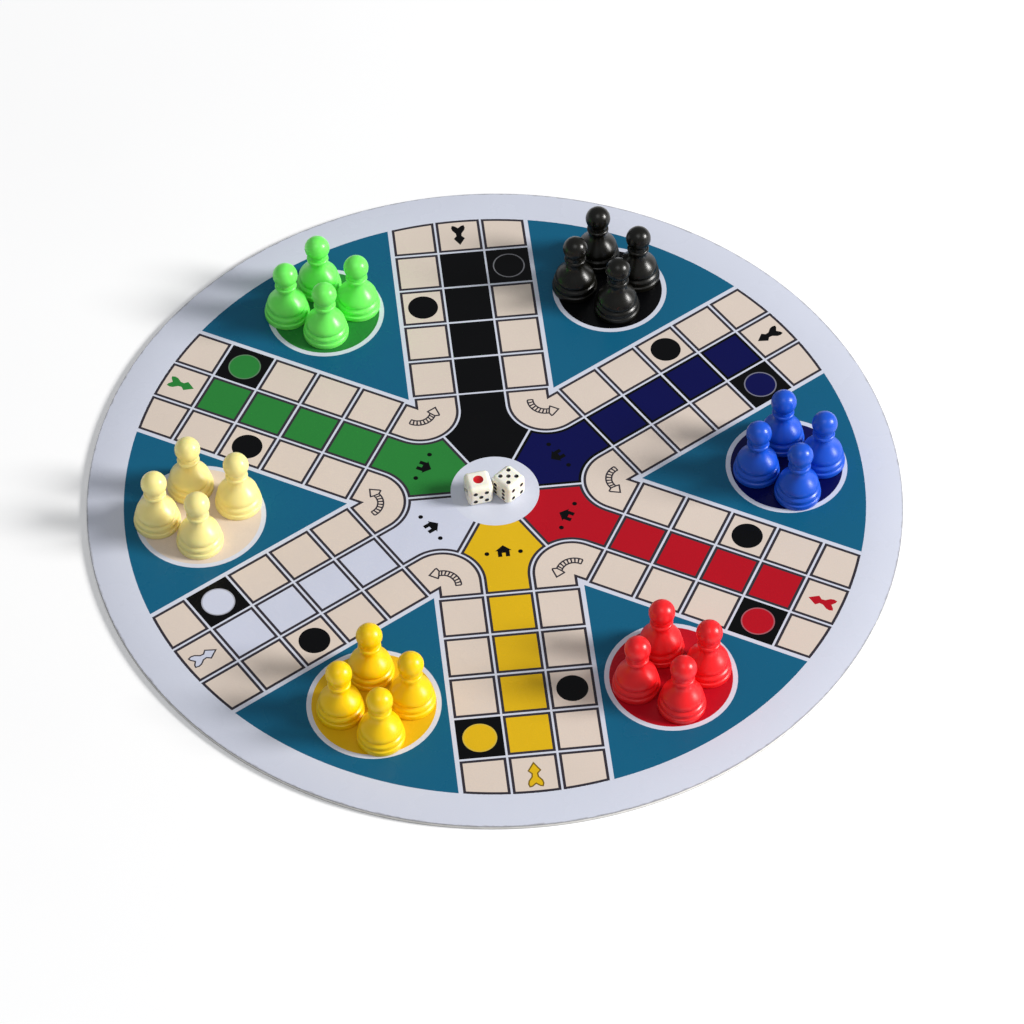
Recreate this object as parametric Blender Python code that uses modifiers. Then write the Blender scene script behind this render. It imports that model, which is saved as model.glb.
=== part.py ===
"""A round six-player ludo game set out for play.

A thin disc of board carries twenty-four turned-shape pawns, four of each of six
colours, grouped on the start circles between the arms of the printed track, and
two rounded dice on the bare disc at its centre. The board is a laminate of a
printed face sheet, a stiff core and a backing sheet.

Units are metres and +Z is up. The origin is the centre of the board's underside,
and the black arm of the printed track points along +Y.
"""

import math

import bmesh
import bpy
from mathutils import Matrix, Vector

MM = 0.001

# The board, a flush-cut laminate with a bare border round its print
BOARD_DIAMETER = 254.0 * MM
PRINT_BORDER = 11.5 * MM
FACE_SHEET_THICKNESS = 0.2 * MM
CORE_THICKNESS = 0.8 * MM
BACKING_THICKNESS = 0.2 * MM
GLUE_LINE = 0.1 * MM
FACE_EDGE_CHAMFER = 0.08 * MM
BOARD_SIDES = 96
SHARP_EDGE_DEGREES = 60.0

# The pawns, from the foot up: foot, groove, flared body, neck, collar and ball head
PAWN_FOOT_DIAMETER = 14.6 * MM
PAWN_FOOT_HEIGHT = 4.3 * MM
PAWN_FOOT_CHAMFER = 0.4 * MM
PAWN_GROOVE_WIDTH = 0.9 * MM
PAWN_GROOVE_DEPTH = 0.5 * MM
PAWN_BELLY_DIAMETER = 13.4 * MM
PAWN_FLARE_HEIGHT = 8.2 * MM
PAWN_NECK_DIAMETER = 5.7 * MM
PAWN_NECK_HEIGHT = 0.5 * MM
PAWN_COLLAR_DIAMETER = 6.8 * MM
PAWN_COLLAR_HEIGHT = 1.2 * MM
PAWN_HEAD_DIAMETER = 8.0 * MM
PAWN_HEAD_SINK = 0.7 * MM
PAWN_FLARE_POWER = 1.2
PAWN_SIDES = 16
HEAD_ARC_STEPS = 5
FLARE_STEPS = 4
MERGE_DISTANCE = 0.01 * MM

# How the pieces stand: a hair clear of the board, and the pawns clear of each other
SEAT_GAP = 0.3 * MM
PAWN_CLEARANCE = 0.4 * MM
START_CENTRE_SHARE = 0.79

# The dice: rounded cubes with dished pips
DIE_EDGE = 8.0 * MM
DIE_ROUNDING = 1.1 * MM
DIE_ROUNDING_STEPS = 3
PIP_DIAMETER = 1.4 * MM
PIP_DEPTH = 0.3 * MM
ONE_PIP_DIAMETER = 2.6 * MM
ONE_PIP_DEPTH = 0.45 * MM
PIP_SPACING_SHARE = 0.22
PIP_SIDES = 8
PIP_RINGS = 6

# Each colour's start sector, as its middle's angle from +X, and where its four
# pawns stand from the sector's start centre, in shares of the pawn spacing
PAWN_GROUP_SHARES = (
    ("black", 60.0, ((-0.12, 1.02), (-0.71, 0.20), (0.67, 0.35), (0.12, -0.51))),
    ("blue", 0.0, ((0.03, 0.70), (-0.61, -0.08), (0.78, 0.03), (0.15, -0.76))),
    ("red", -60.0, ((-0.18, 0.79), (-0.78, -0.06), (0.69, 0.18), (0.06, -0.64))),
    ("yellow", -120.0, ((0.05, 0.85), (-0.63, -0.02), (0.80, 0.06), (0.11, -0.76))),
    ("ivory", 180.0, ((-0.19, 0.80), (-0.93, -0.04), (0.77, 0.27), (-0.09, -0.68))),
    ("green", 120.0, ((-0.12, 0.83), (-0.86, 0.12), (0.66, 0.18), (-0.08, -0.52))),
)

# Each die: its place on the centre disc in shares of its edge, its turn about +Z
# in degrees, and the pips on its top and front (-Y) faces before it is turned
DIE_PLACE_SHARES = (
    ("die_left", (-0.67, -0.18), 7.6, 1, 5),
    ("die_right", (0.51, -0.14), 38.6, 5, 4),
)

PLASTIC_COLOURS = {
    "black": (0.020, 0.018, 0.014),
    "blue": (0.012, 0.075, 0.620),
    "red": (0.800, 0.012, 0.012),
    "yellow": (0.950, 0.520, 0.004),
    "ivory": (0.900, 0.720, 0.360),
    "green": (0.110, 0.760, 0.090),
}

BOARD_THICKNESS = FACE_SHEET_THICKNESS + CORE_THICKNESS + BACKING_THICKNESS + 2 * GLUE_LINE
SEAT_LEVEL = BOARD_THICKNESS + SEAT_GAP
PAWN_SPACING = PAWN_FOOT_DIAMETER + PAWN_CLEARANCE


def clear_scene():
    for leftover in list(bpy.data.objects):
        bpy.data.objects.remove(leftover, do_unlink=True)


def new_collection(name, hidden=False):
    collection = bpy.data.collections.new(name)
    collection.hide_render = hidden
    bpy.context.scene.collection.children.link(collection)
    return collection


def plain_material(name, colour, roughness, metallic=0.0):
    material = bpy.data.materials.new(name)
    material.use_nodes = True
    shader = material.node_tree.nodes["Principled BSDF"]
    shader.inputs["Base Color"].default_value = (*colour, 1.0)
    shader.inputs["Roughness"].default_value = roughness
    shader.inputs["Metallic"].default_value = metallic
    return material


def object_from_bmesh(name, shape, collection, material=None):
    mesh = bpy.data.meshes.new(name)
    bmesh.ops.recalc_face_normals(shape, faces=shape.faces[:])
    shape.to_mesh(mesh)
    shape.free()
    mesh.shade_smooth()
    mesh.set_sharp_from_angle(angle=math.radians(SHARP_EDGE_DEGREES))
    if material:
        mesh.materials.append(material)
    made = bpy.data.objects.new(name, mesh)
    collection.objects.link(made)
    return made


def disc(name, diameter, thickness, bottom, material, collection):
    """A flat round sheet whose underside is at the given height."""
    shape = bmesh.new()
    bmesh.ops.create_cone(
        shape,
        cap_ends=True,
        segments=BOARD_SIDES,
        radius1=diameter / 2,
        radius2=diameter / 2,
        depth=thickness,
    )
    made = object_from_bmesh(name, shape, collection, material)
    made.location.z = bottom + thickness / 2
    return made


def add_board(collection):
    backing = plain_material("backing_paper", (0.62, 0.62, 0.60), 0.7)
    core = plain_material("core_board", (0.70, 0.70, 0.69), 0.8)
    face = plain_material("printed_face", (0.66, 0.69, 0.78), 0.25)
    disc("backing_sheet", BOARD_DIAMETER, BACKING_THICKNESS, 0, backing, collection)
    core_bottom = BACKING_THICKNESS + GLUE_LINE
    disc("board_core", BOARD_DIAMETER, CORE_THICKNESS, core_bottom, core, collection)
    face_bottom = core_bottom + CORE_THICKNESS + GLUE_LINE
    sheet = disc("face_sheet", BOARD_DIAMETER, FACE_SHEET_THICKNESS, face_bottom, face, collection)
    rounding = sheet.modifiers.new("edge_chamfer", "BEVEL")
    rounding.width = FACE_EDGE_CHAMFER
    rounding.segments = 1
    rounding.limit_method = "ANGLE"
    rounding.angle_limit = math.radians(SHARP_EDGE_DEGREES)


def flare_radius(share):
    """The body's radius from the belly (share 0) up to the neck (share 1)."""
    swell = ((1 + math.cos(math.pi * share)) / 2) ** PAWN_FLARE_POWER
    return (PAWN_NECK_DIAMETER + (PAWN_BELLY_DIAMETER - PAWN_NECK_DIAMETER) * swell) / 2


def head_arc(collar_top):
    """The ball head from its crown down to where it meets the collar."""
    radius = PAWN_HEAD_DIAMETER / 2
    centre = collar_top + radius - PAWN_HEAD_SINK
    last_angle = math.pi - math.acos((radius - PAWN_HEAD_SINK) / radius)
    points = []
    for step in range(HEAD_ARC_STEPS + 1):
        angle = last_angle * step / HEAD_ARC_STEPS
        points.append((radius * math.sin(angle), centre + radius * math.cos(angle)))
    return points


def pawn_profile():
    """Half the pawn's outline, from the crown down its outer side to the foot's middle."""
    belly_level = PAWN_FOOT_HEIGHT + PAWN_GROOVE_WIDTH
    neck_level = belly_level + PAWN_FLARE_HEIGHT
    collar_bottom = neck_level + PAWN_NECK_HEIGHT
    collar_top = collar_bottom + PAWN_COLLAR_HEIGHT
    foot_radius = PAWN_FOOT_DIAMETER / 2
    points = head_arc(collar_top)
    points.append((PAWN_COLLAR_DIAMETER / 2, (collar_top + collar_bottom) / 2))
    for step in range(FLARE_STEPS + 1):
        share = 1 - step / FLARE_STEPS
        points.append((flare_radius(share), belly_level + PAWN_FLARE_HEIGHT * share))
    groove_level = PAWN_FOOT_HEIGHT + PAWN_GROOVE_WIDTH / 2
    points.append((PAWN_BELLY_DIAMETER / 2 - PAWN_GROOVE_DEPTH, groove_level))
    points.append((foot_radius - PAWN_FOOT_CHAMFER, PAWN_FOOT_HEIGHT))
    points.append((foot_radius, PAWN_FOOT_HEIGHT - PAWN_FOOT_CHAMFER))
    points.append((foot_radius, PAWN_FOOT_CHAMFER))
    points.append((foot_radius - PAWN_FOOT_CHAMFER, 0))
    points.append((0, 0))
    return points


def pawn_mesh():
    """The profile line that every pawn turns with its own Screw."""
    mesh = bpy.data.meshes.new("pawn_profile")
    points = [(radius, 0, level) for radius, level in pawn_profile()]
    edges = [(index, index + 1) for index in range(len(points) - 1)]
    mesh.from_pydata(points, edges, [])
    return mesh


def add_pawn(name, mesh, place, material, collection):
    pawn = bpy.data.objects.new(name, mesh.copy())
    pawn.data.name = name
    pawn.data.materials.append(material)
    pawn.location = (*place, SEAT_LEVEL)
    turn = pawn.modifiers.new("turned", "SCREW")
    turn.steps = PAWN_SIDES
    turn.render_steps = PAWN_SIDES
    turn.use_merge_vertices = True
    turn.merge_threshold = MERGE_DISTANCE
    turn.use_smooth_shade = True
    collection.objects.link(pawn)
    return pawn


def add_pawns(collection):
    profile = pawn_mesh()
    print_radius = BOARD_DIAMETER / 2 - PRINT_BORDER
    start_radius = START_CENTRE_SHARE * print_radius
    for colour, angle, places in PAWN_GROUP_SHARES:
        material = plain_material(f"plastic_{colour}", PLASTIC_COLOURS[colour], 0.3)
        middle = Vector((math.cos(math.radians(angle)), math.sin(math.radians(angle))))
        for number, place in enumerate(places, start=1):
            spot = middle * start_radius + Vector(place) * PAWN_SPACING
            add_pawn(f"pawn_{colour}_{number}", profile, spot, material, collection)
    bpy.data.meshes.remove(profile)


def pip_places(count):
    """Where a face's pips lie, in steps from its middle."""
    corners = ((-1, -1), (1, 1), (-1, 1), (1, -1))
    places = []
    if count % 2:
        places.append((0, 0))
    if count > 1:
        places.extend(corners[:2])
    if count > 3:
        places.extend(corners[2:])
    if count == 6:
        places.extend(((-1, 0), (1, 0)))
    return places


def face_directions(top, front):
    """Outward directions of the faces by their pips, opposite faces adding to seven."""
    up = Vector((0, 0, 1))
    forward = Vector((0, -1, 0))
    directions = {top: up, 7 - top: -up, front: forward, 7 - front: -forward}
    left = next(pips for pips in range(1, 7) if pips not in directions)
    # On a right-handed die the faces 1, 2 and 3 run counterclockwise about their corner
    side = Vector((-1, 0, 0))
    trial = dict(directions)
    trial[left] = side
    trial[7 - left] = -side
    if trial[1].cross(trial[2]).dot(trial[3]) < 0:
        side = -side
    directions[left] = side
    directions[7 - left] = -side
    return directions


def add_pip_cutter(name, top, front, collection):
    """Balls that dish each pip out of the die's faces."""
    shape = bmesh.new()
    for pips, outward in face_directions(top, front).items():
        across = Vector((outward.z, outward.x, outward.y))
        along = outward.cross(across)
        wide, deep = (ONE_PIP_DIAMETER, ONE_PIP_DEPTH) if pips == 1 else (PIP_DIAMETER, PIP_DEPTH)
        ball_radius = (wide * wide / 4 + deep * deep) / (2 * deep)
        for step_across, step_along in pip_places(pips):
            spot = outward * (DIE_EDGE / 2 - deep + ball_radius)
            spot += across * (step_across * PIP_SPACING_SHARE * DIE_EDGE)
            spot += along * (step_along * PIP_SPACING_SHARE * DIE_EDGE)
            turn = outward.to_track_quat("Z", "Y").to_matrix().to_4x4()
            bmesh.ops.create_uvsphere(
                shape,
                u_segments=PIP_SIDES,
                v_segments=PIP_RINGS,
                radius=ball_radius,
                matrix=Matrix.Translation(spot) @ turn,
            )
    cutter = object_from_bmesh(name, shape, collection)
    cutter.hide_render = True
    cutter.display_type = "WIRE"
    return cutter


def add_die(name, place, turn_degrees, top, front, material, parts, cutters):
    shape = bmesh.new()
    bmesh.ops.create_cube(shape, size=DIE_EDGE)
    die = object_from_bmesh(name, shape, parts, material)
    rounding = die.modifiers.new("rounded_edges", "BEVEL")
    rounding.width = DIE_ROUNDING
    rounding.segments = DIE_ROUNDING_STEPS
    rounding.harden_normals = True
    pips = die.modifiers.new("pips", "BOOLEAN")
    pips.operation = "DIFFERENCE"
    pips.solver = "EXACT"
    cutter = add_pip_cutter(f"{name}_pip_cutter", top, front, cutters)
    pips.object = cutter
    for piece in (die, cutter):
        piece.location = (
            place[0] * DIE_EDGE,
            place[1] * DIE_EDGE,
            SEAT_LEVEL + DIE_EDGE / 2,
        )
        piece.rotation_euler.z = math.radians(turn_degrees)
    return die


def add_dice(parts, cutters):
    material = plain_material("die_plastic", (0.82, 0.80, 0.72), 0.3)
    for name, place, turn_degrees, top, front in DIE_PLACE_SHARES:
        add_die(name, place, turn_degrees, top, front, material, parts, cutters)


def main():
    clear_scene()
    parts = new_collection("ludo_board_game")
    cutters = new_collection("cutters", hidden=True)
    add_board(parts)
    add_pawns(parts)
    add_dice(parts, cutters)


main()
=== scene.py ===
# %% [markdown]
# # A six-player ludo game, dressed piece by piece
#
# The real game is a thin laminated disc of board with a printed track, twenty-four small moulded
# pawns and two rounded dice. The frame that is loaded here holds every piece at its true size and
# place, and knows how the pawns and dice lift off. So the lesson never moves the frame: it builds
# a finer surface in each piece's place and gives it a finish. Everything is in metres, with +Z up.

import math

import bmesh
import bpy
from mathutils import Matrix, Vector, noise
from mathutils.geometry import delaunay_2d_cdt


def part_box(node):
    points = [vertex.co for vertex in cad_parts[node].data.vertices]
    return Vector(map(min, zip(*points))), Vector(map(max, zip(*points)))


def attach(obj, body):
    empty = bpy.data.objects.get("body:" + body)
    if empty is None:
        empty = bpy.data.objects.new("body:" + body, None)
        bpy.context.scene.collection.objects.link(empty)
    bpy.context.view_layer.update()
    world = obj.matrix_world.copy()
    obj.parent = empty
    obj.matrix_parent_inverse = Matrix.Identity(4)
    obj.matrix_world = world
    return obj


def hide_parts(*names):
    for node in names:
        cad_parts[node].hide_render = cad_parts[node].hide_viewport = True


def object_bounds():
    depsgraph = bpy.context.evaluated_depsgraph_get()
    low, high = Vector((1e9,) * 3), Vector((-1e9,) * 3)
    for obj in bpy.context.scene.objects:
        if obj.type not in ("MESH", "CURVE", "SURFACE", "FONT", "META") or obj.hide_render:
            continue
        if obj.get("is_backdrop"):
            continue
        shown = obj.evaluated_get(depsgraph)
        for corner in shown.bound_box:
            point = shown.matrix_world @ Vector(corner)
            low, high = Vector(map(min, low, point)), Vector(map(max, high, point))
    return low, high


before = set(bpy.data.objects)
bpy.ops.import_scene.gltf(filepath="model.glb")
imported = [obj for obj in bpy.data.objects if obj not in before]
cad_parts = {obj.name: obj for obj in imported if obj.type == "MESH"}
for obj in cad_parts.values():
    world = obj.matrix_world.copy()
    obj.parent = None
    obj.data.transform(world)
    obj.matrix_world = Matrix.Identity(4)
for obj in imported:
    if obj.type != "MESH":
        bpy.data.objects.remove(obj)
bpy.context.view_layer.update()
MM = 0.001

# %% [markdown]
# ## The camera
#
# The reference picture looks down at the board at about 51 degrees, a little to the right of the
# black arm. The board's rim shows as an ellipse, and how much narrower its far half is than its
# near half tells how long the lens is. A long lens from 1.3 m away gives the same frame. The aim is
# a point on the printed face, so the camera needs no shift.

# %% Camera
CAMERA_RISE = math.radians(51.01)
CAMERA_TURN = math.radians(6.38)
CAMERA_DISTANCE = 1303.5 * MM
CAMERA_AIM = Vector((4.33, -9.03, 1.4)) * MM
CAMERA_LENS = 147.66
CAMERA_REACH = 20


def direction(turn, rise):
    """A unit vector, turned clockwise from +Y as seen from above, and raised above the horizon."""
    flat = math.cos(rise)
    return Vector((math.sin(turn) * flat, math.cos(turn) * flat, math.sin(rise)))


camera = bpy.data.objects.new("camera", bpy.data.cameras.new("camera"))
bpy.context.scene.collection.objects.link(camera)
bpy.context.scene.camera = camera
camera.data.lens = CAMERA_LENS
camera.data.clip_end = CAMERA_REACH
camera_look = direction(CAMERA_TURN, -CAMERA_RISE)
camera.location = CAMERA_AIM - camera_look * CAMERA_DISTANCE
camera.rotation_euler = camera_look.to_track_quat("-Z", "Y").to_euler()
print("Camera stands at", [round(value, 3) for value in camera.location])

# %% [markdown]
# ## Light
#
# The light comes low from the right: it throws the shadows to the left and puts a small bright
# spot on each pawn's head. One lamp alone would leave the far sides black. So a round softbox
# stands to the right and a little in front, a larger and weaker one overhead, and even light
# comes from all round. The shares of the three add up to one on the flat board, so a colour
# renders about as it is written and the pale margin keeps its tone. The lamps stand metres away,
# so that the light is as strong at both edges of the board.

# %% Lamps and even light
KEY_SHARE = 0.59
TOP_SHARE = 0.12
AIR_SHARE = 0.29
KEY_TURN = math.radians(101)
KEY_RISE = math.radians(28)
KEY_DISTANCE = 4.0
KEY_WIDTH = 1.2
TOP_TURN = math.radians(190)
TOP_RISE = math.radians(68)
TOP_DISTANCE = 3.0
TOP_WIDTH = 1.6
WARM_WHITE = (1.0, 0.985, 0.96)
COOL_WHITE = (0.94, 0.97, 1.0, 1.0)


def add_softbox(name, towards, distance, width, share):
    """A round softbox that gives a flat, level surface its share of the whole light."""
    lamp = bpy.data.lights.new(name, "AREA")
    lamp.shape = "DISK"
    lamp.size = width
    # A disc lamp of P watts gives P / (pi * distance^2) to a surface that faces it
    lamp.energy = share * (math.pi * distance) ** 2 / towards.z
    holder = bpy.data.objects.new(name, lamp)
    bpy.context.scene.collection.objects.link(holder)
    holder.location = towards * distance
    holder.rotation_euler = (-towards).to_track_quat("-Z", "Y").to_euler()
    return holder


key = add_softbox("key_softbox", direction(KEY_TURN, KEY_RISE), KEY_DISTANCE, KEY_WIDTH, KEY_SHARE)
top = add_softbox("top_softbox", direction(TOP_TURN, TOP_RISE), TOP_DISTANCE, TOP_WIDTH, TOP_SHARE)
key.data.color = WARM_WHITE
world = bpy.data.worlds.new("studio_air")
bpy.context.scene.world = world
world.use_nodes = True
air = world.node_tree.nodes["Background"]
air.inputs["Color"].default_value = COOL_WHITE
air.inputs["Strength"].default_value = AIR_SHARE
bpy.context.scene.view_settings.view_transform = "Standard"
print("Softbox power in watts:", round(key.data.energy), round(top.data.energy))

# %% [markdown]
# ## A small kit for finishes
#
# Most real surfaces differ from a flat colour in three ways: their tint drifts a little, their
# gloss drifts where hands have touched them, and they are not quite smooth. Noise textures can
# give all three without any picture, and Blender measures them in the piece's own metres, so the
# grain keeps its real size. These few helpers keep the recipes below short.

# %% Finish helpers


def colour(red, green, blue):
    """A colour read off as 0 to 255 on a screen, as the linear numbers that a shader wants."""
    steps = [value / 255 for value in (red, green, blue)]
    linear = [s / 12.92 if s <= 0.04045 else ((s + 0.055) / 1.055) ** 2.4 for s in steps]
    return (*linear, 1.0)


def new_finish(name):
    """A new material with its node tree and its shader, ready to be filled in."""
    finish = bpy.data.materials.new(name)
    finish.use_nodes = True
    tree = finish.node_tree
    return finish, tree, tree.nodes["Principled BSDF"]


def add_node(tree, kind, inputs, **settings):
    """Adds a node. An input is either a plain value or another node's output to link."""
    node = tree.nodes.new(kind)
    for name, setting in settings.items():
        setattr(node, name, setting)
    for name, value in inputs.items():
        if isinstance(value, bpy.types.NodeSocket):
            tree.links.new(value, node.inputs[name])
        else:
            node.inputs[name].default_value = value
    return node


def own_place(tree, stretch=(1, 1, 1)):
    """The point on the piece, in its own metres, squeezed along any axis that is stretched."""
    place = add_node(tree, "ShaderNodeTexCoord", {}).outputs["Object"]
    squeeze = [1 / value for value in stretch]
    scaled = add_node(tree, "ShaderNodeVectorMath", {0: place, 1: squeeze}, operation="MULTIPLY")
    return scaled.outputs["Vector"]


def grain(tree, size, detail=2.0, stretch=(1, 1, 1)):
    """Noise from 0 to 1 whose patches are about that many metres across."""
    inputs = {"Vector": own_place(tree, stretch), "Scale": 1 / size, "Detail": detail}
    return add_node(tree, "ShaderNodeTexNoise", inputs).outputs["Fac"]


def spread(tree, value, low, high, from_low=0.3, from_high=0.7):
    """Stretches a noise value's usual middle range to the range from low to high."""
    inputs = {"Value": value, "From Min": from_low, "From Max": from_high, "To Min": low, "To Max": high}
    return add_node(tree, "ShaderNodeMapRange", inputs).outputs["Result"]


def maths(tree, operation, *values):
    """One arithmetic step on values or sockets."""
    inputs = dict(enumerate(values))
    return add_node(tree, "ShaderNodeMath", inputs, operation=operation).outputs["Value"]


def shaded(tree, base, lightness):
    """The base colour, made lighter or darker by a value around 1."""
    inputs = {"Color": base, "Value": lightness}
    return add_node(tree, "ShaderNodeHueSaturation", inputs).outputs["Color"]


def mixed(tree, share, first, second):
    """The first colour, giving way to the second as the share goes from 0 to 1."""
    inputs = {"Factor": share, "A": first, "B": second}
    node = add_node(tree, "ShaderNodeMix", {}, data_type="RGBA")
    for socket in node.inputs:
        if socket.type == "RGBA" or socket.identifier == "Factor_Float":
            value = inputs[socket.name]
            if isinstance(value, bpy.types.NodeSocket):
                tree.links.new(value, socket)
            else:
                socket.default_value = value
    return next(socket for socket in node.outputs if socket.type == "RGBA")


def raised(tree, shader, height, depth, below=None):
    """Bumps the shader's surface by a height value, up to depth metres high."""
    inputs = {"Height": height, "Distance": depth}
    if below is not None:
        inputs["Normal"] = below
    bump = add_node(tree, "ShaderNodeBump", inputs).outputs["Normal"]
    tree.links.new(bump, shader.inputs["Normal"])
    return bump


# %% [markdown]
# ## The floor
#
# A pale tabletop fills the frame, so that nothing but the game draws the eye. It is matt, with a
# very faint mottle, and it keeps the board's soft shadow. It lies a hair below the board's
# underside, because two faces in one plane would flicker. A faint glow of its own, which only the
# camera and mirror-like rays see, lifts it to white without adding any light to the object.

# %% Floor
FLOOR_WIDTH = 14.0
FLOOR_DROP = 0.02 * MM
FLOOR_LIFT = 0.13
FLOOR_SQUARES = 8
FLOOR_MOTTLE = 120 * MM
FLOOR_WHITE = colour(247, 247, 248)

floor_finish, tree, shader = new_finish("floor_matt")
tree.links.new(
    shaded(tree, FLOOR_WHITE, spread(tree, grain(tree, FLOOR_MOTTLE, 3), 0.99, 1.01)),
    shader.inputs["Base Color"],
)
shader.inputs["Roughness"].default_value = 0.9
shader.inputs["Specular IOR Level"].default_value = 0.1
shader.inputs["Emission Color"].default_value = (1.0, 1.0, 1.0, 1.0)
ray = add_node(tree, "ShaderNodeLightPath", {}).outputs
seen = maths(tree, "MAXIMUM", ray["Is Camera Ray"], ray["Is Glossy Ray"])
seen = maths(tree, "MAXIMUM", seen, ray["Is Transmission Ray"])
tree.links.new(maths(tree, "MULTIPLY", seen, FLOOR_LIFT), shader.inputs["Emission Strength"])
shape = bmesh.new()
bmesh.ops.create_grid(
    shape, x_segments=FLOOR_SQUARES, y_segments=FLOOR_SQUARES, size=FLOOR_WIDTH / 2
)
floor_mesh = bpy.data.meshes.new("floor")
shape.to_mesh(floor_mesh)
shape.free()
floor_mesh.materials.append(floor_finish)
floor = bpy.data.objects.new("floor", floor_mesh)
bpy.context.scene.collection.objects.link(floor)
floor.location.z = -FLOOR_DROP
floor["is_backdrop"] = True
print("Floor is", FLOOR_WIDTH, "m wide")

# %% [markdown]
# ## Inks under film
#
# The track is printed in flat inks, and then the whole sheet is laminated with a thin clear film.
# So every ink shares one surface: glossy, with the film's slight ripple and the dull patches that
# fingers leave, while only the colour under it changes. One recipe therefore makes them all. The
# tint mottles a little in two sizes: the fine press grain, and wide soft drifts. The clear film is
# kept weak in gloss, so that the black and navy inks stay deep.

# %% Ink recipe
PRESS_GRAIN = 0.35 * MM
INK_DRIFT = 45 * MM
FILM_RIPPLE = 7 * MM
FILM_GRAIN = 0.6 * MM
SMUDGE = 16 * MM
RIPPLE_DEPTH = 0.05 * MM
FILM_GRAIN_DEPTH = 0.002 * MM
FILM_SHINE = 0.2


def film_surface(tree, shader):
    """The clear film's gloss, with smudges and ripple, over whatever is printed."""
    gloss = spread(tree, grain(tree, SMUDGE, 5), 0.22, 0.34)
    tree.links.new(gloss, shader.inputs["Roughness"])
    shader.inputs["Specular IOR Level"].default_value = FILM_SHINE
    ripple = raised(tree, shader, grain(tree, FILM_RIPPLE, 2), RIPPLE_DEPTH)
    raised(tree, shader, grain(tree, FILM_GRAIN, 3), FILM_GRAIN_DEPTH, below=ripple)


def mottled(tree, base, amount):
    """The base colour with fine and wide drifts in lightness, each up to the given amount."""
    fine = spread(tree, grain(tree, PRESS_GRAIN, 2), 1 - amount, 1 + amount)
    wide = spread(tree, grain(tree, INK_DRIFT, 3), 1 - amount, 1 + amount)
    return shaded(tree, base, maths(tree, "MULTIPLY", fine, wide))


def ink(name, base, amount=0.03):
    """One printed ink under the clear film."""
    finish, tree, shader = new_finish(name)
    tree.links.new(mottled(tree, base, amount), shader.inputs["Base Color"])
    film_surface(tree, shader)
    return finish


INK_COLOURS = {
    "cream": colour(221, 206, 194),
    "line": colour(52, 48, 56),
    "teal": colour(18, 95, 129),
    "black": colour(3, 3, 5),
    "navy": colour(6, 10, 76),
    "red": colour(180, 14, 32),
    "yellow": colour(222, 180, 24),
    "pearl": colour(206, 210, 228),
    "green": colour(42, 128, 56),
    "olive": colour(120, 96, 22),
    "black_ring": colour(122, 122, 128),
    "navy_ring": colour(122, 122, 138),
    "red_ring": colour(162, 92, 102),
    "yellow_ring": colour(206, 178, 70),
    "pearl_ring": colour(170, 172, 184),
    "green_ring": colour(92, 130, 96),
}
inks = {name: ink(f"ink_{name}", base) for name, base in INK_COLOURS.items()}
print("Inks mixed:", ", ".join(inks))

# %% [markdown]
# ## Bare paper and its worn rim
#
# The margin, the gutters between the cells and the disc under the dice are bare white paper under
# the same film. Its cool blue tint is a painted reflection of a blue sky, not the paper's own tone.
# At the board's very edge, where the sheet was punched out and fingers lift it, the film turns grey
# and uneven, and the last tenths of a millimetre show as a fine drawn line. The distance from the
# board's middle tells the shader where that edge is.

# %% Paper recipe
board_low, board_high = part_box("face_sheet")
board_radius = (board_high.x - board_low.x) / 2
FACE_TOP = board_high.z
FACE_BOTTOM = board_low.z
# The blue tint of this white is a painted reflection of a blue sky
PAPER_WHITE_WITH_PAINTED_SKY = colour(211, 215, 230)
EDGE_GREY = colour(150, 150, 156)
EDGE_WEAR_WIDTH = 0.55 * MM
EDGE_WEAR_SHARE = 0.8
EDGE_UNEVEN = 0.25 * MM
PAPER_MOTTLE = 0.012
LEVEL_ONLY = (1, 1, 1e6)

paper, tree, shader = new_finish("bare_paper")
flat_place = own_place(tree, LEVEL_ONLY)
distance = add_node(tree, "ShaderNodeVectorMath", {0: flat_place}, operation="LENGTH")
uneven = spread(tree, grain(tree, 2.5 * MM, 4), -EDGE_UNEVEN, EDGE_UNEVEN)
near_edge = maths(tree, "ADD", distance.outputs["Value"], uneven)
worn = spread(tree, near_edge, 0, EDGE_WEAR_SHARE, board_radius - EDGE_WEAR_WIDTH, board_radius)
tree.links.new(
    mixed(tree, worn, mottled(tree, PAPER_WHITE_WITH_PAINTED_SKY, PAPER_MOTTLE), EDGE_GREY),
    shader.inputs["Base Color"],
)
film_surface(tree, shader)

film_edge, tree, shader = new_finish("cut_film_edge")
tree.links.new(
    shaded(tree, EDGE_GREY, spread(tree, grain(tree, 1.5 * MM, 4), 0.7, 1.2)),
    shader.inputs["Base Color"],
)
shader.inputs["Roughness"].default_value = 0.45
print("Board radius in mm:", round(board_radius / MM, 2))

# %% [markdown]
# ## Drawing the track
#
# The print has six alike sectors, so each shape is drawn once, in the frame of an arm: so far
# along the arm from the board's middle, and so far to its clockwise side. `on_arm` turns such a
# pair into a point. A half number of arms lies on the line halfway between two arms. Every shape
# is painted as an outline with an ink, later shapes over earlier ones, as a printer lays colours.
# The print's own sizes are in millimetres, and are scaled once, when the sheet is made.

# %% Points, rings and arcs
ARMS = 6
PRINT_RADIUS = 115.5
LINE_HALF = 0.43
DARK_INKS = ("black", "navy")
ARM_TURN = 2 * math.pi / ARMS
RIM_STEP_DEGREES = 1.5
painted = []


def on_arm(arm, along, side=0.0):
    """The point that lies so far along an arm and so far to its clockwise side."""
    turn = math.pi / 2 - ARM_TURN * arm
    x = along * math.cos(turn) + side * math.sin(turn)
    y = along * math.sin(turn) - side * math.cos(turn)
    return (x, y)


def paint(ink_name, outline):
    """Adds an outline to the print, turned so that it always runs counterclockwise."""
    pairs = zip(outline, outline[1:] + outline[:1])
    area = sum(a[0] * b[1] - b[0] * a[1] for a, b in pairs)
    painted.append((ink_name, outline if area > 0 else outline[::-1]))


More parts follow.
